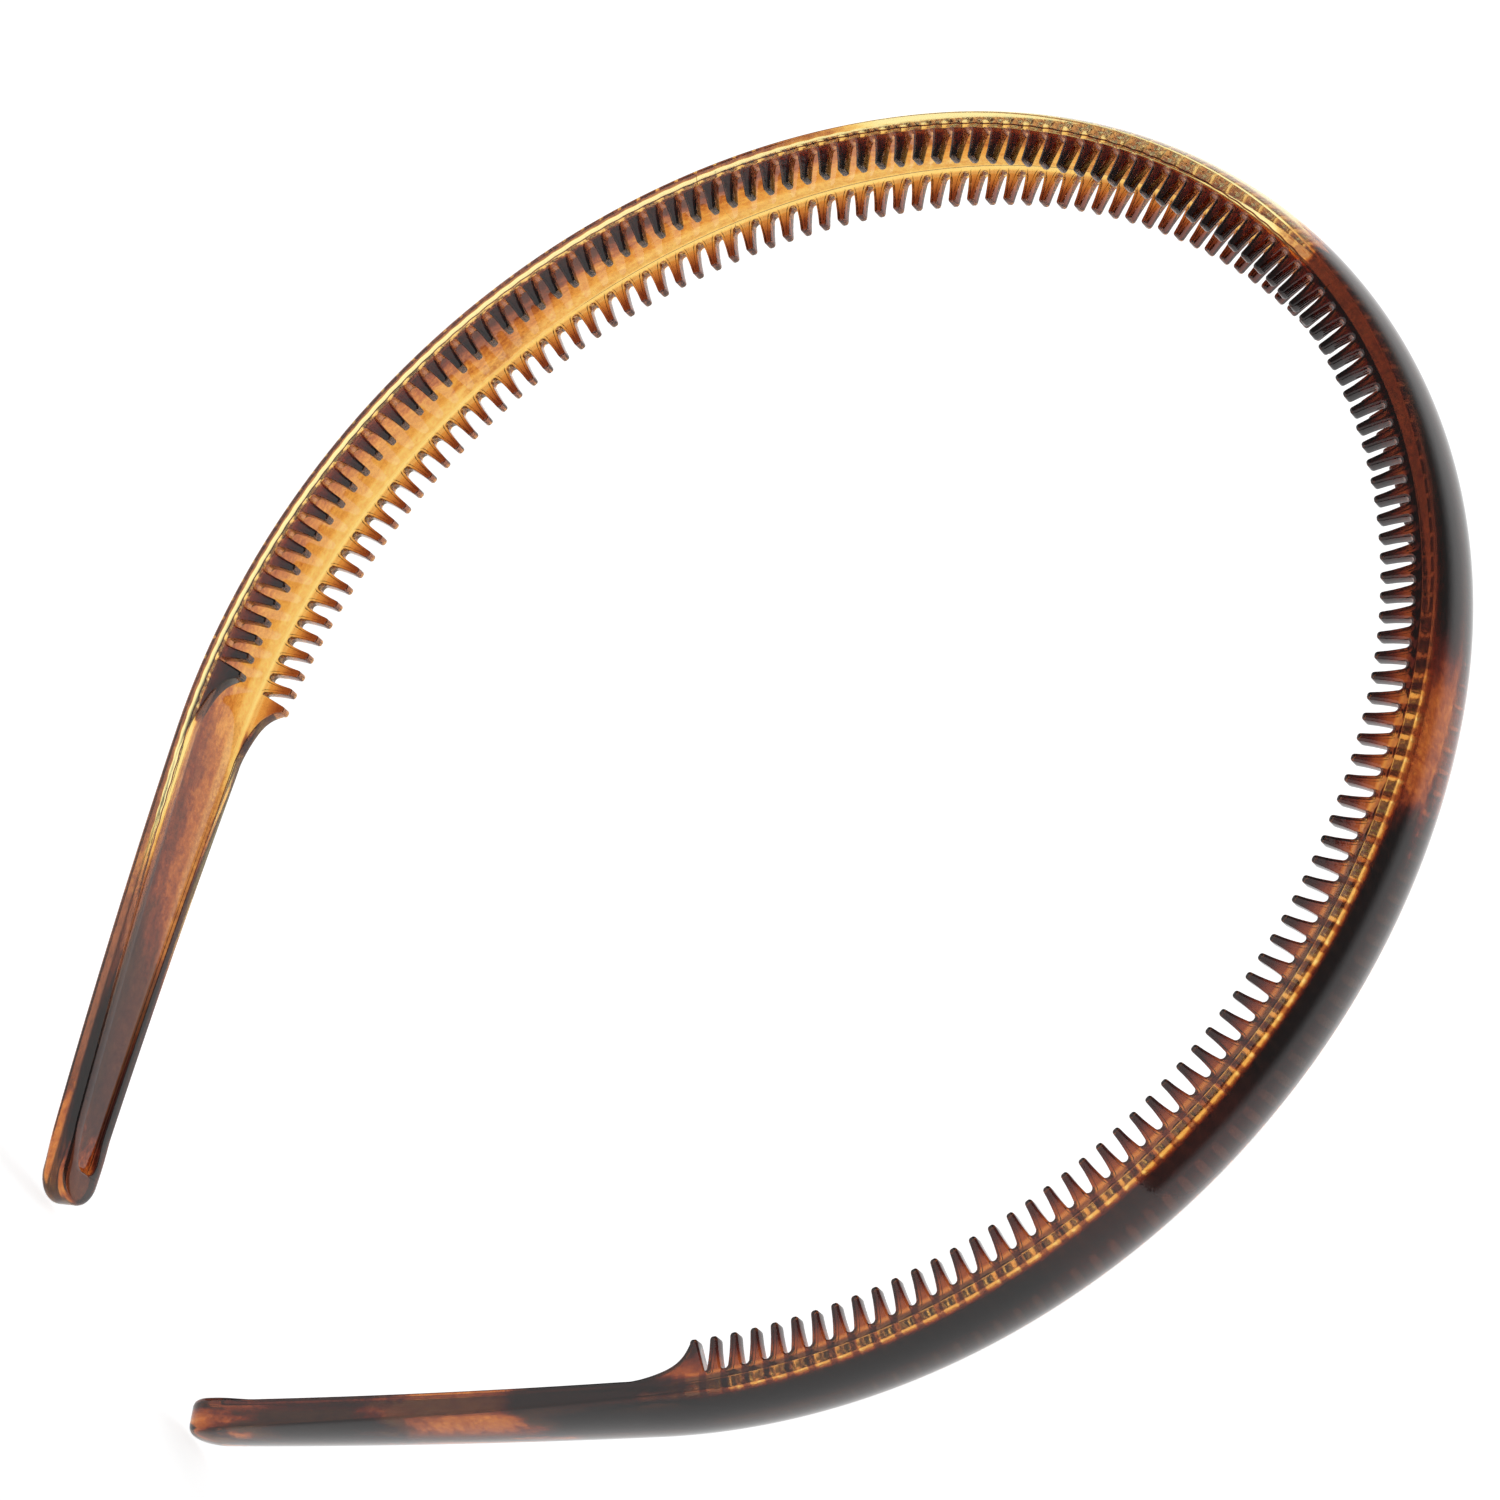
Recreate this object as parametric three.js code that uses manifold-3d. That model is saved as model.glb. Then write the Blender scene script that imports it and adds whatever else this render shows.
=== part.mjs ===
// A springy plastic headband: one C-shaped arch with a row of teeth along each inner edge.
//
// The real article is a single moulding that flexes when it is pulled open. It is built here as
// rigid sections that meet where it bends: a crown, two shoulders and two arms, each with a piece of
// band and a piece of the front and the rear comb, and a plain leg at the end of each arm.
//
// Units are millimetres. +Z is up through the crown, +X runs from one side of the head to the other,
// and +Y points to the rear comb. The origin is midway between the two tips, at their lowest point.
import * as THREE from 'three';
import { mergeVertices } from 'three/addons/utils/BufferGeometryUtils.js';
import Module from 'manifold-3d';

const wasm = await Module();
wasm.setup();

// The arch, measured along its base line, which the roots of the teeth follow. Each side is the same:
// a crown arc, a longer side arc and a leg that is almost straight.
const CROWN_RADIUS = 55.5;
const CROWN_ARC = 44.8;
const SIDE_RADIUS = 67.1;
const SIDE_END = 142.2;
const LEG_RADIUS = 975;
const ARCH_LENGTH = 187.3;

// The band's cross-section. Depths are measured outward from the base line.
const WIDTH = 9.15;
const DOME_TOP = 1.8;
const DOME_RADIUS = 7.9;
const FLOOR_DEPTH = -0.85;
const RIM_DEPTH = -1.2;
const RIM_WIDTH = 1.2;
const REBATE_DEPTH = -0.2;
const DOME_FACETS = 6;

// The combs.
const TOOTH_PITCH = 2;
const LAST_TOOTH = 136;
const TOOTH_TIP = -4.4;
const TOOTH_SHOULDER = -4.05;
const TOOTH_ROOT = -1.35;
const TOOTH_HALF_TIP = 0.36;
const TOOTH_HALF_ROOT = 0.68;
const RAMP_END = 142.5;
const RAMP_STEPS = 6;
const RAMP_POWER = 2.2;

// The legs taper to rounded tips, and a shallow groove runs down their inner face.
const LEG_START = 143;
const TIP_WIDTH = 5.04;
const GROOVE_END = 182.5;
const TIP_PAD_START = 180;
const TIP_PAD_RISE = 0.35;
const TIP_ARC_STEPS = 8;

// Where the sections meet, by distance along the base line from the crown.
const SHOULDER_JOINT = 29;
const ARM_JOINT = 109;
const GAP = 0.3;
const FACET_LENGTH = 4.8;

// How far a cutting solid reaches past what it cuts, and how near two corners are joined into one.
const CUT_MARGIN = 3;
const MERGE_DISTANCE = 1e-4;

const TORTOISESHELL = { roughness: 0.12, metalness: 0 };
const BAND_COLOUR = 0x4a1e10;
const COMB_COLOUR = 0x7a3216;
const LEG_COLOUR = 0x381408;

// One step along an arc: from a point and a heading, in degrees of turn, by a length.
function alongArc(start, radius, length) {
  const turn = start.turn + length / radius;
  return {
    x: start.x + radius * (Math.sin(turn) - Math.sin(start.turn)),
    z: start.z + radius * (Math.cos(turn) - Math.cos(start.turn)),
    turn,
  };
}

// A point of the base line, with the angle that the line has turned through since the crown.
function baseLine(distance) {
  const length = Math.abs(distance);
  let at = alongArc({ x: 0, z: 0, turn: 0 }, CROWN_RADIUS, Math.min(length, CROWN_ARC));
  if (length > CROWN_ARC) {
    at = alongArc(at, SIDE_RADIUS, Math.min(length, SIDE_END) - CROWN_ARC);
  }
  if (length > SIDE_END) {
    at = alongArc(at, LEG_RADIUS, length - SIDE_END);
  }
  const side = Math.sign(distance) || 1;
  return { x: side * at.x, z: at.z, turn: side * at.turn };
}

// A point at a depth outward from the base line.
function archPoint(distance, depth) {
  const at = baseLine(distance);
  return new THREE.Vector2(at.x + depth * Math.sin(at.turn), at.z + depth * Math.cos(at.turn));
}

class BaseLineCurve extends THREE.Curve {
  constructor(from, to) {
    super();
    this.from = from;
    this.to = to;
  }

  getPoint(share, target = new THREE.Vector3()) {
    const at = baseLine(this.from + share * (this.to - this.from));
    return target.set(at.x, 0, at.z);
  }
}

function facets(from, to) {
  return Math.ceil(Math.abs(to - from) / FACET_LENGTH);
}

// How far the dome has dropped below its top at a distance from the middle of the band.
function domeDepth(across) {
  return DOME_TOP - DOME_RADIUS + Math.sqrt(DOME_RADIUS ** 2 - across ** 2);
}

// Half of a cross-section, from the middle of the dome round to the middle of the inner face. Each
// inner point is [distance across, depth]. The other half mirrors it.
function sectionShape(innerHalf) {
  const half = [];
  for (let i = 0; i <= DOME_FACETS / 2; i += 1) {
    const across = (WIDTH / 2) * (2 * i) / DOME_FACETS;
    half.push([across, domeDepth(across)]);
  }
  half.push(...innerHalf);
  const mirrored = half.slice(1).reverse().map(([across, depth]) => [-across, depth]);
  // An extrusion along the base line puts a shape's second axis inward.
  return new THREE.Shape([...half, ...mirrored].map(([across, depth]) => new THREE.Vector2(across, -depth)));
}

function sweep(shape, from, to) {
  return new THREE.ExtrudeGeometry(shape, {
    steps: facets(from, to),
    bevelEnabled: false,
    extrudePath: new BaseLineCurve(from, to),
  });
}

// The toothed part of the band: domed outside, with a raised floor between the two combs, which sit
// in a rebate along each edge.
function bandGeometry(from, to) {
  const floorHalf = WIDTH / 2 - RIM_WIDTH - GAP;
  const shape = sectionShape([
    [WIDTH / 2, REBATE_DEPTH],
    [floorHalf, REBATE_DEPTH],
    [floorHalf, FLOOR_DEPTH],
  ]);
  return sweep(shape, from, to);
}

function toothOutline(centre) {
  return [
    archPoint(centre - TOOTH_HALF_ROOT, TOOTH_ROOT),
    archPoint(centre - TOOTH_HALF_TIP, TOOTH_SHOULDER),
    archPoint(centre, TOOTH_TIP),
    archPoint(centre + TOOTH_HALF_TIP, TOOTH_SHOULDER),
    archPoint(centre + TOOTH_HALF_ROOT, TOOTH_ROOT),
  ];
}

// The last tooth of a row has no gap after it. Its far side sweeps down to the leg in a hollow ramp.
function endToothOutline(side) {
  const outline = [
    archPoint(side * (LAST_TOOTH - TOOTH_HALF_ROOT), TOOTH_ROOT),
    archPoint(side * (LAST_TOOTH - TOOTH_HALF_TIP), TOOTH_SHOULDER),
    archPoint(side * LAST_TOOTH, TOOTH_TIP),
  ];
  for (let i = 0; i <= RAMP_STEPS; i += 1) {
    const share = i / RAMP_STEPS;
    const depth = RIM_DEPTH + (TOOTH_TIP - RIM_DEPTH) * (1 - share) ** RAMP_POWER;
    const start = LAST_TOOTH + TOOTH_HALF_TIP;
    outline.push(archPoint(side * (start + share * (RAMP_END - start)), depth));
  }
  return side > 0 ? outline : outline.reverse();
}

// A flat strip with its teeth, standing on edge in the plane of the arch. The shape runs along the
// teeth from one end to the other and comes back along the spine.
function combGeometry(from, to, edge) {
  const outline = [archPoint(from, TOOTH_ROOT)];
  const first = Math.ceil(from / TOOTH_PITCH) * TOOTH_PITCH;
  for (let centre = first; centre < to; centre += TOOTH_PITCH) {
    if (Math.abs(centre) < LAST_TOOTH) {
      outline.push(...toothOutline(centre));
    } else if (Math.abs(centre) === LAST_TOOTH) {
      outline.push(...endToothOutline(Math.sign(centre)));
    }
  }
  if (to < RAMP_END) {
    outline.push(archPoint(to, TOOTH_ROOT));
  }
  if (from < -LAST_TOOTH) {
    outline.shift();
  }
  const steps = facets(from, to);
  for (let i = 0; i <= steps; i += 1) {
    outline.push(archPoint(to + (from - to) * (i / steps), REBATE_DEPTH - GAP));
  }
  const geometry = new THREE.ExtrudeGeometry(new THREE.Shape(outline), {
    depth: RIM_WIDTH,
    bevelEnabled: false,
  });
  // Stand the strip up, so that it is as wide along Y as the rim.
  geometry.rotateX(Math.PI / 2);
  const outerFace = (WIDTH / 2) * edge;
  geometry.translate(0, edge > 0 ? outerFace : outerFace + RIM_WIDTH, 0);
  return geometry;
}

function solidOf(geometry) {
  const bare = geometry.clone();
  bare.deleteAttribute('normal');
  bare.deleteAttribute('uv');
  const merged = mergeVertices(bare, MERGE_DISTANCE);
  return new wasm.Manifold(new wasm.Mesh({
    numProp: 3,
    vertProperties: new Float32Array(merged.attributes.position.array),
    triVerts: new Uint32Array(merged.index.array),
  }));
}

function geometryOf(solid) {
  const mesh = solid.getMesh();
  const geometry = new THREE.BufferGeometry();
  geometry.setAttribute('position', new THREE.BufferAttribute(mesh.vertProperties, 3));
  geometry.setIndex(new THREE.BufferAttribute(mesh.triVerts, 1));
  geometry.computeVertexNormals();
  return geometry;
}

// Half the leg's width at a distance along the base line.
function legHalfWidth(distance) {
  const share = (distance - LEG_START) / (ARCH_LENGTH - LEG_START);
  return (WIDTH + (TIP_WIDTH - WIDTH) * share) / 2;
}

// A prism over a tapered outline with one rounded end, seen from outside the leg. It cuts the leg to
// its width, and a narrower one cuts the groove.
function taperedPrism(from, to, inset, low, high) {
  const heel = archPoint(LEG_START, 0);
  const toe = archPoint(ARCH_LENGTH, 0);
  const lean = Math.atan2(toe.x - heel.x, toe.y - heel.y);
  const endHalf = legHalfWidth(to) - inset;
  const roundStart = to - LEG_START - endHalf;
  const outline = [
    new THREE.Vector2(from - LEG_START, -(legHalfWidth(from) - inset)),
  ];
  for (let i = 0; i <= TIP_ARC_STEPS; i += 1) {
    const angle = -Math.PI / 2 + Math.PI * (i / TIP_ARC_STEPS);
    outline.push(new THREE.Vector2(roundStart + endHalf * Math.cos(angle), endHalf * Math.sin(angle)));
  }
  outline.push(new THREE.Vector2(from - LEG_START, legHalfWidth(from) - inset));
  const prism = new THREE.ExtrudeGeometry(new THREE.Shape(outline), {
    depth: high - low,
    bevelEnabled: false,
  });
  // The outline's first axis runs down the leg, its second across it, and its depth points outward.
  const along = new THREE.Vector3(Math.sin(lean), 0, Math.cos(lean));
  const across = new THREE.Vector3(0, 1, 0);
  const outward = new THREE.Vector3().crossVectors(along, across);
  const place = new THREE.Matrix4().makeBasis(along, across, outward);
  place.setPosition(new THREE.Vector3(heel.x, 0, heel.y).addScaledVector(outward, low));
  return prism.applyMatrix4(place);
}

// The right leg: a domed bar with a slightly thicker pad at its tip, cut to its taper, then grooved.
function legGeometry() {
  const bar = solidOf(sweep(sectionShape([[WIDTH / 2, RIM_DEPTH]]), LEG_START, ARCH_LENGTH));
  const padShape = sectionShape([[WIDTH / 2, RIM_DEPTH - TIP_PAD_RISE]]);
  const pad = solidOf(sweep(padShape, TIP_PAD_START, ARCH_LENGTH));
  const outline = solidOf(taperedPrism(LEG_START - CUT_MARGIN, ARCH_LENGTH, 0, -2 * CUT_MARGIN, 2 * CUT_MARGIN));
  const groove = solidOf(taperedPrism(LEG_START - CUT_MARGIN, GROOVE_END, RIM_WIDTH, -2 * CUT_MARGIN, FLOOR_DEPTH));
  return geometryOf(bar.add(pad).intersect(outline).subtract(groove));
}

const headband = new THREE.Group();

function addNode(name, geometry, colour) {
  const mesh = new THREE.Mesh(geometry, new THREE.MeshStandardMaterial({ color: colour, ...TORTOISESHELL }));
  mesh.name = name;
  headband.add(mesh);
  return mesh;
}

// One section of the arch: its band and a piece of each comb.
function addSection(name, from, to) {
  addNode(`band_${name}`, bandGeometry(from, to), BAND_COLOUR);
  const combTo = Math.min(to, RAMP_END);
  const combFrom = Math.max(from, -RAMP_END);
  addNode(`comb_front_${name}`, combGeometry(combFrom, combTo, -1), COMB_COLOUR);
  addNode(`comb_rear_${name}`, combGeometry(combFrom, combTo, 1), COMB_COLOUR);
}

const crownEnd = SHOULDER_JOINT - GAP / 2;
const shoulderStart = SHOULDER_JOINT + GAP / 2;
const shoulderEnd = ARM_JOINT - GAP / 2;
const armStart = ARM_JOINT + GAP / 2;
const armEnd = LEG_START - GAP;

addSection('crown', -crownEnd, crownEnd);
addSection('shoulder_right', shoulderStart, shoulderEnd);
addSection('shoulder_left', -shoulderEnd, -shoulderStart);
addSection('arm_right', armStart, armEnd);
addSection('arm_left', -armEnd, -armStart);

const rightLeg = addNode('leg_right', legGeometry(), LEG_COLOUR);
const leftLeg = addNode('leg_left', rightLeg.geometry, LEG_COLOUR);
leftLeg.rotation.z = Math.PI;

// Lift the arch, so that its tips reach down to the origin's level.
const box = new THREE.Box3().setFromObject(headband);
headband.position.z = -box.min.z;

export default headband;
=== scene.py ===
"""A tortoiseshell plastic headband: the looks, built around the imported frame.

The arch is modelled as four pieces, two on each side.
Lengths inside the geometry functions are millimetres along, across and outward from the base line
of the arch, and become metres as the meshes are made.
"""
import math

import bpy
import bmesh
import numpy as np
from mathutils import Matrix, Vector


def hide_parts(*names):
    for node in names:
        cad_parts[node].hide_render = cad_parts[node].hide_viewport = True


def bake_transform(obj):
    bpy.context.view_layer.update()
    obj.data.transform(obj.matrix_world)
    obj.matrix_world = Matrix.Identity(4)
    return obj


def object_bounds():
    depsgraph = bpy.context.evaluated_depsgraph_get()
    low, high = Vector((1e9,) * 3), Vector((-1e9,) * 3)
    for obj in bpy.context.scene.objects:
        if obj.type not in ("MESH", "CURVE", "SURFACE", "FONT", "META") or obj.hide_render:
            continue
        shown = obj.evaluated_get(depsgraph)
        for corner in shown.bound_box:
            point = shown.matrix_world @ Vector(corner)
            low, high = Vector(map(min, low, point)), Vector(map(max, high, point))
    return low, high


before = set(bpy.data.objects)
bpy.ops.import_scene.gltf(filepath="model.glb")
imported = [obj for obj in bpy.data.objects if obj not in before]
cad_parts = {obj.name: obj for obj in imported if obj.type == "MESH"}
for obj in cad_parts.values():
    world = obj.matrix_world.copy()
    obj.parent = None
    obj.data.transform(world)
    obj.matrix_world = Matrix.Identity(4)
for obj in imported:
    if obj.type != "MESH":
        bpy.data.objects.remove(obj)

cad_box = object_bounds()

MM = 0.001

# The arch and its cross-section, as on the CAD model.
CROWN_RADIUS = 55.5
CROWN_ARC = 44.8
SIDE_RADIUS = 67.1
SIDE_END = 142.2
LEG_RADIUS = 975.0
ARCH_LENGTH = 187.3
WIDTH = 9.15
DOME_TOP = 1.8
DOME_RADIUS = 7.9
FLOOR_DEPTH = -0.85
RIM_DEPTH = -1.2
RIM_WIDTH = 1.2
EDGE_RADIUS = 0.35

# The teeth.
TOOTH_PITCH = 2.0
LAST_TOOTH = 136.0
TOOTH_TIP = -4.4
TOOTH_ROOT = -1.35
GAP_RADIUS = 0.38
FLANK_HALF_TOP = 0.39
TIP_ROUNDING = 0.4
TOOTH_EDGE_RADIUS = 0.16
FLARE_POWER = 1.6

# The last tooth's back: a steep flank that runs out into a long hollow slope.
RAMP_END = 142.2
RAMP_FLANK_SHARE = 0.45
RAMP_FLANK_POWER = 8.0
RAMP_SLOPE_POWER = 1.5

# The legs.
LEG_START = 143.0
TIP_WIDTH = 5.04
GROOVE_END = 184.6
PAD_START = 180.0
PAD_END = 184.5
PAD_RISE = 0.35
TIP_EDGE_RADIUS = 0.85
TIP_UNDER_RADIUS = 0.55
TIP_ROUNDING_START = 181.0

# Where the visual pieces meet, and the small gap left between them.
CROWN_SEAM = 3.0
SIDE_SEAM = 69.0
SEAM_GAP = 0.005

# The floor, and the soft light: a bright backdrop that fades to a dimmer room in front.
FLOOR_REACH = 4.0
FLOOR_GLOW = 0.75
ROOM_LIGHT = 0.2
BACKDROP_LIGHT = 1.15
FADE = (0.3, 0.58)

# The camera: its place from the crown's base line in metres, its lens in millimetres, and where it
# looks from, in degrees right of the front and up, and how far it is rolled.
CAMERA_SPOT = Vector((0.32590, -0.44823, -0.01757))
CAMERA_LENS = 151.6
CAMERA_AZIMUTH = 36.24
CAMERA_ELEVATION = 4.94
CAMERA_ROLL = 49.6

crown_height = cad_box[1][2] / MM - DOME_TOP


def smoothstep(low, high, value):
    share = np.clip((value - low) / (high - low), 0.0, 1.0)
    return share * share * (3.0 - 2.0 * share)


def base_line(distance):
    """Where the base line runs: x, z and the turn since the crown, at distances along it."""
    length = np.abs(distance)
    x, z, turn = np.zeros_like(length), np.zeros_like(length), np.zeros_like(length)
    start = 0.0
    for radius, end in ((CROWN_RADIUS, CROWN_ARC), (SIDE_RADIUS, SIDE_END), (LEG_RADIUS, np.inf)):
        part = np.clip(length - start, 0.0, end - start)
        turned = turn + part / radius
        x = x + radius * (np.sin(turned) - np.sin(turn))
        z = z + radius * (np.cos(turned) - np.cos(turn))
        turn = turned
        start = end
    side = np.where(distance < 0, -1.0, 1.0)
    return side * x, z, side * turn


def to_space(points):
    """Points given as along, across and outward, in the frame's metres."""
    x, z, turn = base_line(points[..., 0])
    outward = points[..., 2]
    spot = np.stack(
        [x + outward * np.sin(turn), points[..., 1], z + outward * np.cos(turn) + crown_height],
        axis=-1,
    )
    return spot * MM


def tooth_profile():
    """One pitch of the comb's edge, from the middle of a gap to the middle of the next."""
    flank_foot = TOOTH_PITCH / 2 - GAP_RADIUS
    half = []
    for angle in np.radians([90, 67, 45, 22, 0]):
        half.append((-TOOTH_PITCH / 2 + GAP_RADIUS * math.cos(angle),
                     TOOTH_ROOT - GAP_RADIUS + GAP_RADIUS * math.sin(angle)))
    shoulder = TOOTH_TIP + TIP_ROUNDING
    foot = TOOTH_ROOT - GAP_RADIUS
    for share in (0.15, 0.35, 0.65):
        flare = (1.0 - share) ** FLARE_POWER
        along = -FLANK_HALF_TOP - (flank_foot - FLANK_HALF_TOP) * flare
        half.append((along, foot + (shoulder - foot) * share))
    for angle in np.radians([0, 20, 40, 60, 76]):
        half.append((-FLANK_HALF_TOP * math.cos(angle) ** 0.8,
                     shoulder - TIP_ROUNDING * math.sin(angle) ** 0.8))
    other = [(-along, depth) for along, depth in reversed(half)]
    return half + other[:-1]


def leg_half_width(along):
    share = np.clip((along - LEG_START) / (ARCH_LENGTH - LEG_START), 0.0, 1.0)
    return (WIDTH + (TIP_WIDTH - WIDTH) * share) / 2


def comb_edge(first, last):
    """The comb's lower edge over part of one side, as points along the arch and their depths."""
    edge = []
    centre = math.floor(first / TOOTH_PITCH) * TOOTH_PITCH
    while centre <= LAST_TOOTH:
        for along, depth in tooth_profile():
            if centre < LAST_TOOTH or along < FLANK_HALF_TOP and depth < TOOTH_TIP + TIP_ROUNDING:
                edge.append((centre + along, depth))
        centre += TOOTH_PITCH
    start = LAST_TOOTH + FLANK_HALF_TOP
    for share in np.linspace(0.0, 1.0, 36) ** 1.6:
        height = (RAMP_FLANK_SHARE * (1.0 - share) ** RAMP_FLANK_POWER
                  + (1.0 - RAMP_FLANK_SHARE) * (1.0 - share) ** RAMP_SLOPE_POWER)
        top = TOOTH_TIP + TIP_ROUNDING
        edge.append((start + share * (RAMP_END - start), RIM_DEPTH + (top - RIM_DEPTH) * height))
    edge += [(along, RIM_DEPTH) for along in np.arange(RAMP_END + 1.0, PAD_START - 0.5, 1.0)]
    edge = [(along, depth) for along, depth in edge if first < along < last]
    return edge


def stations(first, last):
    """The cross-sections of a piece between two distances on one side: arrays with the comb edge's
    place and normal, the half width, the rim's width and the floor's depth at each."""
    has_tip = last >= ARCH_LENGTH
    edge = comb_edge(first, min(last, PAD_START))
    edge.insert(0, (first, TOOTH_ROOT))
    if not has_tip:
        edge.append((last, TOOTH_ROOT))
    edge = np.array(edge)
    half = leg_half_width(edge[:, 0])
    fan = np.zeros(len(edge))
    middle = edge[:, 0].copy()
    if has_tip:
        radius = leg_half_width(np.array([ARCH_LENGTH]))[0]
        centre = ARCH_LENGTH - radius
        groove_half = leg_half_width(np.array([GROOVE_END]))[0] - RIM_WIDTH
        run = list(np.arange(PAD_START, GROOVE_END - groove_half, 0.5))
        run += [GROOVE_END - groove_half * (1.0 - math.sin(a)) for a in np.radians(np.linspace(0, 90, 9))]
        run += list(np.arange(GROOVE_END + 0.25, centre, 0.4)) + [centre]
        run = np.array(run)
        extra = np.stack([run, np.full_like(run, RIM_DEPTH)], axis=1)
        edge = np.concatenate([edge, extra])
        half = np.concatenate([half, leg_half_width(run)])
        fan = np.concatenate([fan, np.zeros(len(run))])
        middle = np.concatenate([middle, run])
        turn = np.radians(np.linspace(6, 90, 15))
        centres = np.stack([np.full_like(turn, centre), np.full_like(turn, RIM_DEPTH)], axis=1)
        edge = np.concatenate([edge, centres])
        half = np.concatenate([half, np.full_like(turn, leg_half_width(np.array([centre]))[0])])
        fan = np.concatenate([fan, turn])
        middle = np.concatenate([middle, np.full_like(turn, centre)])
    pad = PAD_RISE * smoothstep(PAD_START, PAD_END, middle)
    edge[:, 1] -= np.where(middle >= PAD_START, pad, 0.0)
    step = np.gradient(edge, axis=0)
    step[fan > 0] = (1.0, 0.0)
    normal = np.stack([step[:, 1], -step[:, 0]], axis=1)
    normal /= np.linalg.norm(normal, axis=1)[:, None]
    toothed = middle < RAMP_END - 1.5
    normal = np.where(toothed[:, None], normal, (0.0, -1.0))
    rim = np.full(len(edge), RIM_WIDTH)
    floor = np.full(len(edge), FLOOR_DEPTH)
    to_tip = smoothstep(TIP_ROUNDING_START, ARCH_LENGTH - TIP_WIDTH / 2, middle)
    edge_radius = EDGE_RADIUS + (TIP_EDGE_RADIUS - EDGE_RADIUS) * to_tip
    under_radius = TOOTH_EDGE_RADIUS + (TIP_UNDER_RADIUS - TOOTH_EDGE_RADIUS) * to_tip
    if has_tip:
        groove_start = GROOVE_END - groove_half
        inside = (middle > groove_start) & (middle <= GROOVE_END)
        reach = np.sqrt(np.clip(groove_half ** 2 - (middle - groove_start) ** 2, 0.0, None))
        rim = np.where(inside, half - reach, rim)
        closing = smoothstep(GROOVE_END - 0.55 * groove_half, GROOVE_END - 0.03, middle)
        floor = floor + (edge[:, 1] - floor) * closing
        rim = np.where(middle > GROOVE_END - 0.1, half * 0.6, np.minimum(rim, half * 0.8))
    return {"middle": middle, "edge": edge, "normal": normal, "half": half, "fan": fan, "rim": rim,
            "floor": floor, "edge_radius": edge_radius, "under_radius": under_radius}


def half_section(station, index):
    """One half of a cross-section, from the top of the dome round to the middle of the floor, as
    (distance from the middle line, outward, shift along the arch)."""
    half = station["half"][index]
    depth = station["edge"][index, 1]
    normal = station["normal"][index]
    rim = station["rim"][index]
    floor = station["floor"][index]
    edge_radius = station["edge_radius"][index]
    under_radius = station["under_radius"][index]
    dome_centre = DOME_TOP - DOME_RADIUS
    fillet_across = half - edge_radius
    fillet_height = dome_centre + math.sqrt((DOME_RADIUS - edge_radius) ** 2 - fillet_across ** 2)
    meeting = math.atan2(fillet_across, fillet_height - dome_centre)
    points = []
    for angle in np.linspace(0.0, meeting, 13):
        points.append((DOME_RADIUS * math.sin(angle), dome_centre + DOME_RADIUS * math.cos(angle), 0.0))
    for angle in np.linspace(meeting, math.pi / 2, 5)[1:]:
        points.append((fillet_across + edge_radius * math.sin(angle),
                       fillet_height + edge_radius * math.cos(angle), 0.0))
    points.append((half, fillet_height - 0.1, 0.0))

    def from_edge(across, inset):
        return (across, depth - inset * normal[1], -inset * normal[0])

    rise = max(floor - depth, 0.0)
    inner_radius = min(TOOTH_EDGE_RADIUS, 0.4 * rise)
    points.append(from_edge(half, under_radius + 0.1))
    for angle in np.radians([90, 60, 30, 0]):
        points.append(from_edge(half - under_radius * (1.0 - math.sin(angle)),
                                under_radius * (1.0 - math.cos(angle))))
    for angle in np.radians([0, 30, 60, 90]):
        points.append(from_edge(half - rim + inner_radius * (1.0 - math.sin(angle)),
                                inner_radius * (1.0 - math.cos(angle))))
    corner = min(0.14, 0.3 * rise)
    margin = min(0.1, 0.15 * rise)
    points.append(from_edge(half - rim, inner_radius + margin))
    points.append((half - rim, floor - corner - margin, 0.0))
    for angle in np.radians([0, 45, 90]):
        inward = corner * (1.0 - math.cos(angle))
        points.append((half - rim - inward, floor - corner * (1.0 - math.sin(angle)), 0.0))
    inner = half - rim - corner
    for share in (0.95, 0.75, 0.5, 0.25, 0.0):
        points.append((max(inner, 0.0) * share, floor, 0.0))
    return points


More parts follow.
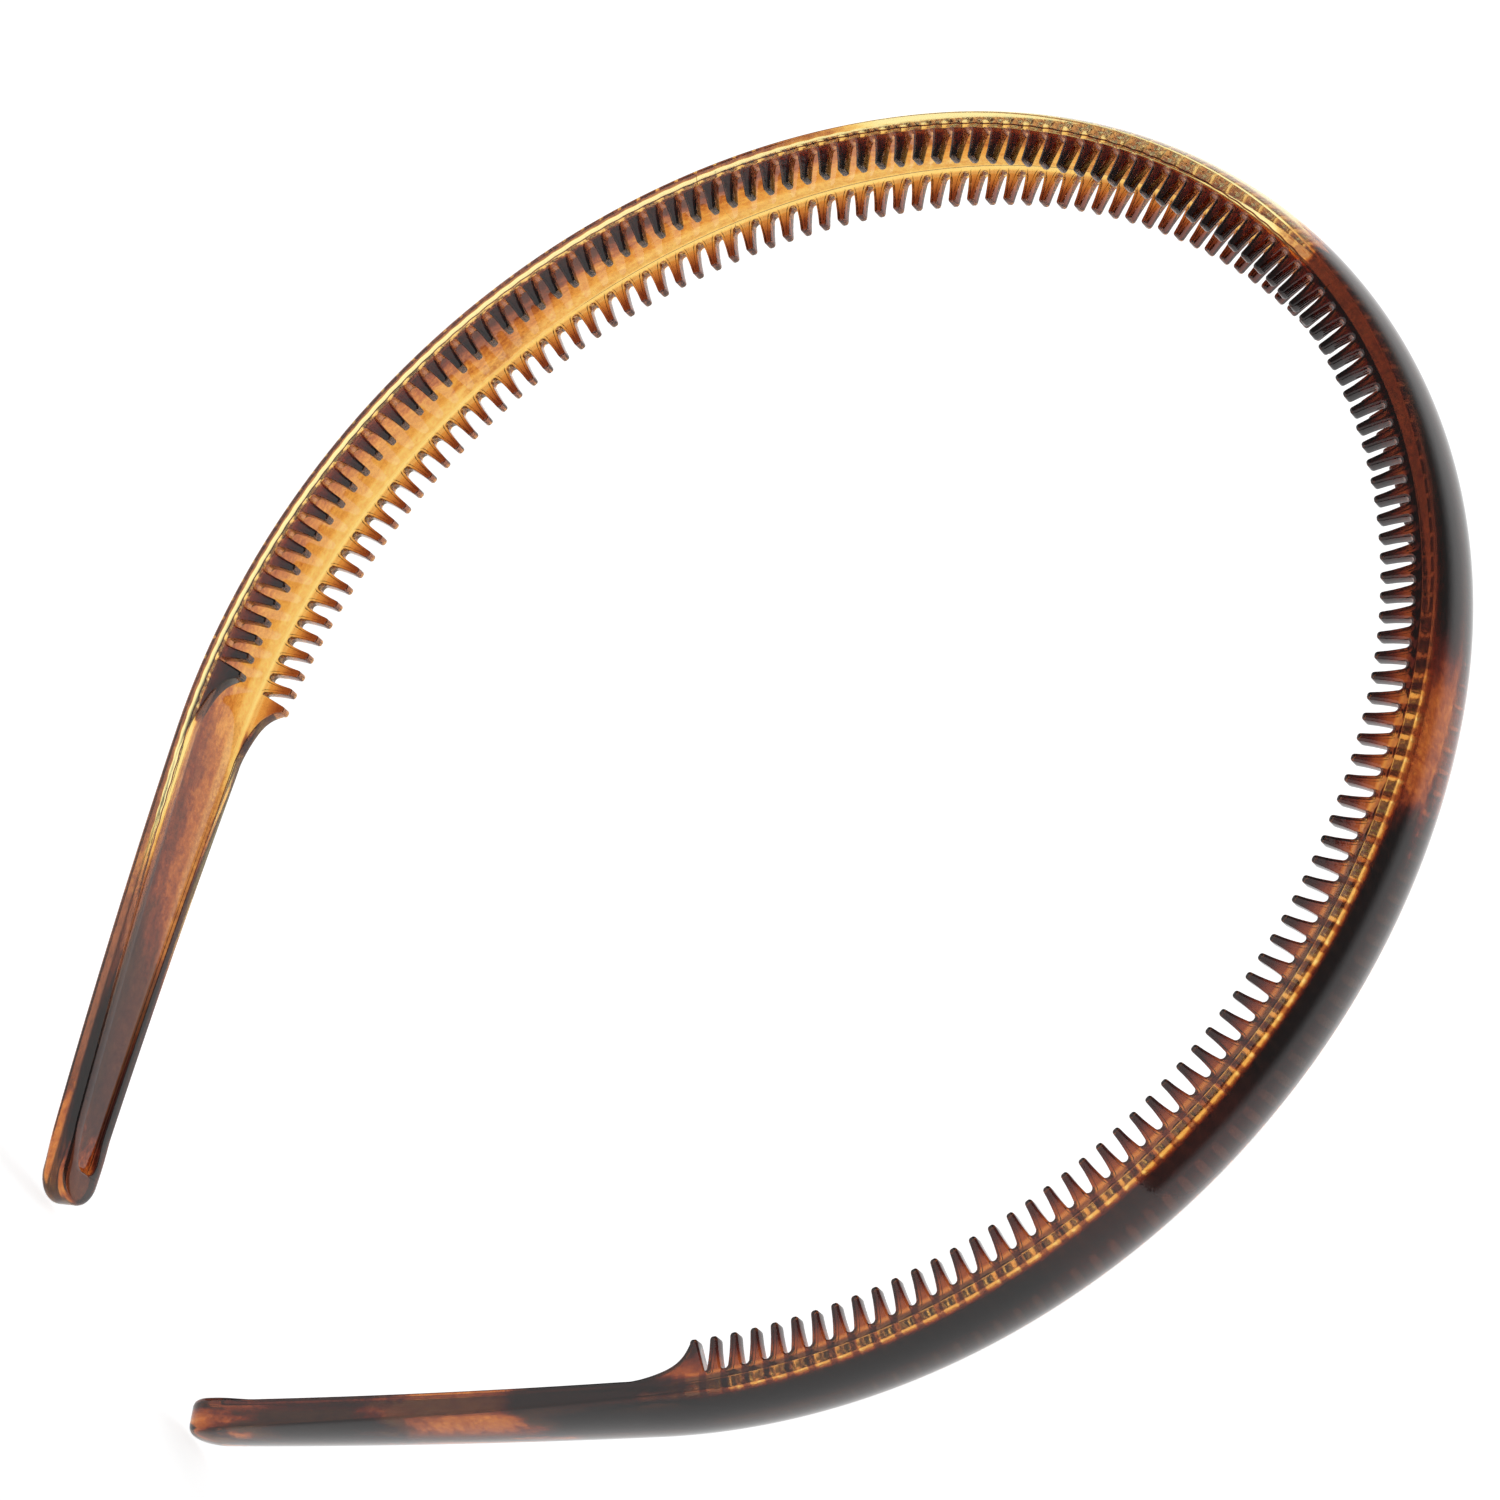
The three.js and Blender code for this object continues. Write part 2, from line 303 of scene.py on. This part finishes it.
def make_piece(name, first, last, side):
    """A closed mesh of the arch between two distances along one side."""
    station = stations(first, last)
    count = len(station["middle"])
    arch = []
    for index in range(count):
        half = half_section(station, index)
        fan = station["fan"][index]
        middle = station["middle"][index]
        row = []
        for mirror in (1.0, -1.0):
            for across, outward, shift in half:
                along = middle + across * math.sin(fan) + shift
                row.append((side * along, mirror * across * math.cos(fan), outward))
        arch.append(row)
    arch = np.array(arch)
    per_half = arch.shape[1] // 2
    mesh = bpy.data.meshes.new(name)
    bm = bmesh.new()
    rows = []
    places = to_space(arch)
    layer = bm.verts.layers.float_vector.new("arch")
    for index in range(count):
        row = []
        for k in range(per_half * 2):
            vert = bm.verts.new(places[index, k])
            vert[layer] = arch[index, k]
            row.append(vert)
        # The two halves share the top of the dome and the middle of the floor.
        ring = row[:per_half] + row[per_half + 1:-1][::-1]
        for spare in (row[per_half], row[-1]):
            bm.verts.remove(spare)
        rows.append(ring)
    around = len(rows[0])
    for index in range(count - 1):
        for k in range(around):
            nxt = (k + 1) % around
            bm.faces.new((rows[index][k], rows[index][nxt], rows[index + 1][nxt], rows[index + 1][k]))
    caps = [bm.faces.new(rows[0][::-1])]
    if station["fan"][-1] == 0:
        caps.append(bm.faces.new(rows[-1]))
    for cap in caps:
        for border in cap.edges:
            border.smooth = False
    bmesh.ops.remove_doubles(bm, verts=bm.verts, dist=2e-7)
    bmesh.ops.triangulate(bm, faces=[f for f in bm.faces if len(f.verts) > 4])
    bmesh.ops.recalc_face_normals(bm, faces=bm.faces)
    bm.to_mesh(mesh)
    bm.free()
    for polygon in mesh.polygons:
        polygon.use_smooth = True
    piece = bpy.data.objects.new(name, mesh)
    bpy.context.scene.collection.objects.link(piece)
    return piece


PALETTE = (
    (0.00, (1.0, 0.93, 0.50)),
    (0.10, (1.0, 0.76, 0.26)),
    (0.22, (0.86, 0.44, 0.085)),
    (0.38, (0.60, 0.19, 0.03)),
    (0.52, (0.30, 0.06, 0.012)),
    (0.68, (0.10, 0.013, 0.006)),
    (0.84, (0.02, 0.004, 0.003)),
    (1.00, (0.004, 0.003, 0.003)),
)

# How dark the plastic is at distances along the arch, 0 for clear gold and 1 for black, for each
# surface of the front half of the band and of the rear half.
DOME = (
    ((-187, 0.35), (-182, 0.45), (-178, 0.8), (-160, 0.7), (-140, 0.5), (-115, 0.42), (-100, 0.66),
     (-70, 0.66), (-58, 0.3), (-50, 0.0), (-6, 0.0), (-3, 0.98), (36, 1.0), (42, 0.66), (45, 0.48),
     (53, 0.5), (57, 0.99), (78, 0.99), (83, 0.82), (100, 0.84), (106, 0.99), (150, 0.99), (154, 0.45),
     (164, 0.42), (169, 0.99), (180, 0.98), (183.5, 0.45), (187, 0.3)),
    ((-187, 0.35), (-178, 0.6), (-160, 0.46), (-140, 0.3), (-60, 0.3), (-30, 0.14), (-6, 0.12),
     (-3, 0.98), (24, 1.0), (40, 0.98), (44, 0.5), (53, 0.52), (57, 0.99), (80, 0.99), (84, 0.92),
     (100, 0.94), (106, 1.0), (150, 0.99), (154, 0.45), (165, 0.47), (169, 0.99), (181, 0.96), (184, 0.4),
     (187, 0.35)),
)
FLOOR = (
    ((-187, 0.34), (-184, 0.5), (-181, 0.97), (-164, 0.96), (-158, 0.86), (-142, 0.76), (-137, 0.54),
     (-103, 0.5), (-98, 0.86), (-68, 0.84), (-62, 0.58), (-33, 0.56), (-26, 0.7), (3, 0.72), (187, 0.72)),
    ((-187, 0.34), (-183, 0.5), (-179, 0.9), (-164, 0.84), (-158, 0.62), (-142, 0.5), (-137, 0.3),
     (-98, 0.3), (-95, 0.5), (-91, 0.44), (-86, 0.34), (-60, 0.32), (-33, 0.34), (-26, 0.56), (3, 0.6),
     (187, 0.6)),
)
WALL = (
    ((-187, 0.03), (-8, 0.02), (-3, 0.78), (24, 0.8), (40, 0.7), (44, 0.24), (54, 0.16), (70, 0.18),
     (78, 0.24), (90, 0.22), (134, 0.28), (138, 0.9), (150, 0.97), (154, 0.4), (166, 0.4), (170, 0.98),
     (181, 0.98), (183.5, 0.4), (187, 0.34)),
    ((-187, 0.1), (-8, 0.08), (-3, 0.55), (30, 0.6), (44, 0.3), (60, 0.28), (136, 0.3), (141, 0.9),
     (181, 0.97), (183.5, 0.4), (187, 0.35)),
)
COMB = (
    ((-187, 0.86), (-140, 0.86), (-137, 0.62), (-100, 0.66), (-60, 0.7), (-30, 0.66), (-8, 0.6),
     (24, 0.62), (40, 0.58), (53, 0.48), (58, 0.58), (78, 0.6), (95, 0.52), (136, 0.54), (140, 0.95),
     (187, 0.97)),
    ((-187, 0.84), (-140, 0.8), (-137, 0.36), (-100, 0.42), (-30, 0.44), (0, 0.56), (136, 0.56),
     (140, 0.95), (187, 0.97)),
)

# Painted refraction that the moulding's edge shows from the front, by distance outward from the base line:
# dark lines where the groove's floor and rim show through the wall, pale between, darker towards the dome.
EDGE_LOW = -1.4
EDGE_HIGH = 0.8
EDGE_REFRACTION_BANDS = (
    (-1.4, 0.75), (-1.3, 0.75), (-1.26, 0.12), (-0.96, 0.1), (-0.91, 0.88), (-0.82, 0.88), (-0.78, 0.0),
    (-0.36, 0.0), (-0.29, 0.62), (0.0, 0.74), (0.8, 0.7),
)


class Nodes:
    """Small helpers that add nodes to one tree and link them."""

    def __init__(self, tree):
        self.tree = tree

    def add(self, kind, **settings):
        node = self.tree.nodes.new(kind)
        for key, value in settings.items():
            setattr(node, key, value)
        return node

    def feed(self, socket, value):
        if isinstance(value, bpy.types.NodeSocket):
            self.tree.links.new(value, socket)
        else:
            socket.default_value = value

    def math(self, operation, first, second=0.0, clamp=False):
        node = self.add("ShaderNodeMath", operation=operation, use_clamp=clamp)
        self.feed(node.inputs[0], first)
        self.feed(node.inputs[1], second)
        return node.outputs[0]

    def smooth(self, value, low, high, out_low=0.0, out_high=1.0):
        node = self.add("ShaderNodeMapRange", interpolation_type="SMOOTHSTEP")
        for socket, given in zip(node.inputs[:5], (value, low, high, out_low, out_high)):
            self.feed(socket, given)
        return node.outputs[0]

    def noise(self, vector, stretch, detail=3.0, roughness=0.55):
        scaled = self.add("ShaderNodeVectorMath", operation="MULTIPLY")
        self.feed(scaled.inputs[0], vector)
        scaled.inputs[1].default_value = stretch
        node = self.add("ShaderNodeTexNoise")
        self.feed(node.inputs["Vector"], scaled.outputs[0])
        node.inputs["Scale"].default_value = 1.0
        node.inputs["Detail"].default_value = detail
        node.inputs["Roughness"].default_value = roughness
        return node.outputs["Fac"]

    def ramp(self, value, stops):
        node = self.add("ShaderNodeValToRGB")
        elements = node.color_ramp.elements
        while len(elements) < len(stops):
            elements.new(1.0)
        for element, (place, colour) in zip(elements, stops):
            element.position = place
            element.color = (*colour, 1.0)
        self.feed(node.inputs[0], value)
        return node.outputs[0]

    def mix(self, share, first, second):
        node = self.add("ShaderNodeMix", data_type="FLOAT")
        self.feed(node.inputs[0], share)
        self.feed(node.inputs[2], first)
        self.feed(node.inputs[3], second)
        return node.outputs[0]


def darkness_along(nodes, share, rear_share, surface):
    span = 2 * ARCH_LENGTH
    halves = [
        nodes.ramp(share, [((at + ARCH_LENGTH) / span, (dark,) * 3) for at, dark in stops])
        for stops in surface
    ]
    return nodes.mix(rear_share, *halves)


def tortoiseshell():
    mat = bpy.data.materials.new("tortoiseshell")
    mat.use_nodes = True
    nodes = Nodes(mat.node_tree)
    bsdf = mat.node_tree.nodes["Principled BSDF"]
    arch = nodes.add("ShaderNodeAttribute", attribute_name="arch").outputs["Vector"]
    split = nodes.add("ShaderNodeSeparateXYZ")
    nodes.feed(split.inputs[0], arch)
    along, across, outward = split.outputs
    off_middle = nodes.math("ABSOLUTE", across)

    # The blotches' borders wander and lean, and are ragged close up.
    wander = nodes.noise(arch, (0.16, 0.5, 0.5))
    ragged = nodes.noise(arch, (0.8, 1.1, 1.1), detail=4.0)
    speckle = nodes.noise(arch, (2.6, 2.6, 2.6), detail=3.0, roughness=0.6)
    moved = nodes.math("ADD", along, nodes.math("MULTIPLY", nodes.math("SUBTRACT", wander, 0.5), 14.0))
    moved = nodes.math("ADD", moved, nodes.math("MULTIPLY", across, 0.5))
    moved = nodes.math("ADD", moved, nodes.math("MULTIPLY", nodes.math("SUBTRACT", ragged, 0.5), 5.0))
    share = nodes.math("DIVIDE", nodes.math("ADD", moved, ARCH_LENGTH), 2 * ARCH_LENGTH)
    middle = nodes.math("ADD", across, nodes.math("MULTIPLY", nodes.math("SUBTRACT", wander, 0.5), 6.0))
    rear_share = nodes.smooth(middle, -2.6, 0.8)

    dome = darkness_along(nodes, share, rear_share, DOME)
    floor_dark = darkness_along(nodes, share, rear_share, FLOOR)
    wall = darkness_along(nodes, share, rear_share, WALL)
    comb = darkness_along(nodes, share, rear_share, COMB)
    comb = nodes.math("ADD", comb, nodes.smooth(outward, -1.7, -3.9, 0.0, 0.28))
    comb = nodes.math("MULTIPLY", comb, nodes.smooth(across, 3.9, 4.4, 1.0, 0.7))
    # Painted refraction on the left front wall: dark lines where the groove's floor and rim show through
    # it, wavering with the teeth, and kept clear on top beyond -50 mm along.
    wave = nodes.math("SINE", nodes.math("MULTIPLY", along, 2 * math.pi / TOOTH_PITCH))
    height = nodes.math("ADD", outward, nodes.math("MULTIPLY", wave, 0.03))
    height_share = nodes.math("DIVIDE", nodes.math("SUBTRACT", height, EDGE_LOW), EDGE_HIGH - EDGE_LOW)
    span = EDGE_HIGH - EDGE_LOW
    refraction_bands = nodes.ramp(height_share, [((at - EDGE_LOW) / span, (dark,) * 3) for at, dark in EDGE_REFRACTION_BANDS])
    refraction_clear_top = nodes.math("MULTIPLY", nodes.smooth(moved, -64, -50), nodes.smooth(outward, -0.35, -0.3))
    refraction_bands = nodes.math("MULTIPLY", refraction_bands, nodes.math("SUBTRACT", 1.0, refraction_clear_top))
    refraction_banded = nodes.math("MULTIPLY", nodes.smooth(moved, -2.0, -6.0), nodes.smooth(across, -3.6, -4.2))
    wall = nodes.mix(refraction_banded, wall, refraction_bands)

    # Painted shade: beside each gap between the teeth, on the right, the wall is painted darker where the
    # gap shows through it.
    pitch_share = nodes.math("FRACT", nodes.math("DIVIDE", along, TOOTH_PITCH))
    from_gap = nodes.math("ABSOLUTE", nodes.math("SUBTRACT", pitch_share, 0.5))
    painted_gap_shade = nodes.math("MULTIPLY", nodes.smooth(from_gap, 0.22, 0.12), nodes.smooth(across, -3.6, -4.2))
    painted_gap_shade = nodes.math("MULTIPLY", painted_gap_shade, nodes.smooth(moved, 36.0, 46.0, 0.0, 0.4))
    wall = nodes.math("ADD", wall, nodes.math("MULTIPLY", painted_gap_shade, nodes.smooth(moved, 138.0, 132.0)))
    on_floor = nodes.math("MULTIPLY", nodes.smooth(outward, 0.2, -0.6), nodes.smooth(off_middle, 3.6, 3.1))
    on_wall = nodes.math("MAXIMUM", nodes.smooth(across, -3.8, -4.3), nodes.smooth(across, 2.6, 3.4))
    dark = nodes.mix(on_wall, dome, wall)
    dark = nodes.mix(on_floor, dark, floor_dark)
    in_comb = nodes.smooth(outward, -1.15, -1.5)
    dark = nodes.mix(in_comb, dark, comb)

    # Light that has come through the gaps between the teeth makes a tick at each along the rim.
    tick = nodes.smooth(from_gap, 0.13, 0.05)
    left_front = nodes.math("MULTIPLY", nodes.smooth(along, -60, -64), nodes.smooth(across, -3.9, -4.2))
    right_rear = nodes.math("MULTIPLY", nodes.smooth(along, 36, 44), nodes.smooth(across, 3.4, 3.8))
    tick = nodes.math("MULTIPLY", tick, nodes.math("MAXIMUM", left_front, right_rear))
    tick = nodes.math("MULTIPLY", tick, nodes.smooth(outward, -0.1, 0.2))
    from_crown = nodes.math("ABSOLUTE", along)
    tick = nodes.math("MULTIPLY", tick, nodes.smooth(from_crown, LAST_TOOTH + 1, LAST_TOOTH - 1))
    dark = nodes.math("MULTIPLY", dark, nodes.math("SUBTRACT", 1.0, nodes.math("MULTIPLY", tick, 0.65)))

    middling = nodes.math("MULTIPLY", nodes.smooth(dark, 0.12, 0.4), nodes.smooth(dark, 0.95, 0.65))
    off_comb = nodes.math("SUBTRACT", 1.0, nodes.math("MULTIPLY", in_comb, 0.7))
    middling = nodes.math("MULTIPLY", middling, off_comb)
    rough_share = nodes.math("MULTIPLY", nodes.math("SUBTRACT", ragged, 0.5), 0.35)
    fleck = nodes.math("MULTIPLY", nodes.math("SUBTRACT", speckle, 0.5), 0.35)
    mottle = nodes.math("MULTIPLY", nodes.math("ADD", rough_share, fleck), middling)
    dark = nodes.math("ADD", dark, mottle, clamp=True)
    nodes.feed(bsdf.inputs["Base Color"], nodes.ramp(dark, PALETTE))
    haze = nodes.noise(arch, (0.7, 0.7, 0.7))
    nodes.feed(bsdf.inputs["Roughness"], nodes.smooth(haze, 0.3, 0.7, 0.03, 0.07))
    bsdf.inputs["IOR"].default_value = 1.49
    bsdf.inputs["Transmission Weight"].default_value = 1.0
    bump = nodes.add("ShaderNodeBump")
    bump.inputs["Strength"].default_value = 0.25
    bump.inputs["Distance"].default_value = 0.00002
    ripple = nodes.noise(arch, (1.1, 1.6, 1.6), detail=2.0)
    nodes.feed(bump.inputs["Height"], ripple)
    nodes.feed(bsdf.inputs["Normal"], bump.outputs[0])
    return mat


plastic = tortoiseshell()
for side, word, seam in ((1, "right", CROWN_SEAM + SEAM_GAP), (-1, "left", -CROWN_SEAM + SEAM_GAP)):
    upper = make_piece(f"upper_{word}", seam, SIDE_SEAM - SEAM_GAP, side)
    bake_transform(upper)
    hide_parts("band_crown", "comb_front_crown", "comb_rear_crown",
                f"band_shoulder_{word}", f"comb_front_shoulder_{word}", f"comb_rear_shoulder_{word}")
    lower = make_piece(f"lower_{word}", SIDE_SEAM + SEAM_GAP, ARCH_LENGTH, side)
    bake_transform(lower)
    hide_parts(f"band_arm_{word}", f"comb_front_arm_{word}", f"comb_rear_arm_{word}", f"leg_{word}")
    for piece in (upper, lower):
        piece.data.materials.append(plastic)

floor_mesh = bpy.data.meshes.new("floor")
corners = [(x * FLOOR_REACH, y * FLOOR_REACH, 0) for x, y in ((-1, -1), (1, -1), (1, 1), (-1, 1))]
floor_mesh.from_pydata(corners, [], [(0, 1, 2, 3)])
floor = bpy.data.objects.new("floor", floor_mesh)
bpy.context.scene.collection.objects.link(floor)

floor_plastic = bpy.data.materials.new("floor")
floor_plastic.use_nodes = True
floor_bsdf = floor_plastic.node_tree.nodes["Principled BSDF"]
floor_bsdf.inputs["Base Color"].default_value = (0.8, 0.8, 0.8, 1.0)
floor_bsdf.inputs["Roughness"].default_value = 0.9
floor_bsdf.inputs["Emission Color"].default_value = (1.0, 1.0, 1.0, 1.0)
floor_bsdf.inputs["Emission Strength"].default_value = FLOOR_GLOW
floor.data.materials.append(floor_plastic)

world = bpy.data.worlds.new("studio")
world.use_nodes = True
sky = Nodes(world.node_tree)
direction = sky.add("ShaderNodeTexCoord").outputs["Generated"]
split = sky.add("ShaderNodeSeparateXYZ")
sky.feed(split.inputs[0], direction)
brightness = sky.smooth(split.outputs[1], *FADE, ROOM_LIGHT, BACKDROP_LIGHT)
sky.feed(world.node_tree.nodes["Background"].inputs["Strength"], brightness)
world.node_tree.nodes["Background"].inputs["Color"].default_value = (1, 1, 1, 1)
bpy.context.scene.world = world

camera_data = bpy.data.cameras.new("camera")
camera_data.lens = CAMERA_LENS
camera_data.sensor_width = 36.0
camera_data.clip_start = 0.01
camera = bpy.data.objects.new("camera", camera_data)
turn = (Matrix.Rotation(math.radians(CAMERA_AZIMUTH), 4, "Z")
        @ Matrix.Rotation(math.radians(90.0 - CAMERA_ELEVATION), 4, "X")
        @ Matrix.Rotation(math.radians(CAMERA_ROLL), 4, "Z"))
spot = CAMERA_SPOT + Vector((0.0, 0.0, crown_height * MM))
camera.matrix_world = Matrix.Translation(spot) @ turn
bpy.context.scene.collection.objects.link(camera)
bpy.context.scene.camera = camera
bpy.context.scene.view_settings.view_transform = "Standard"
bpy.context.scene.cycles.max_bounces = 32
bpy.context.scene.cycles.glossy_bounces = 24
bpy.context.scene.cycles.transmission_bounces = 32
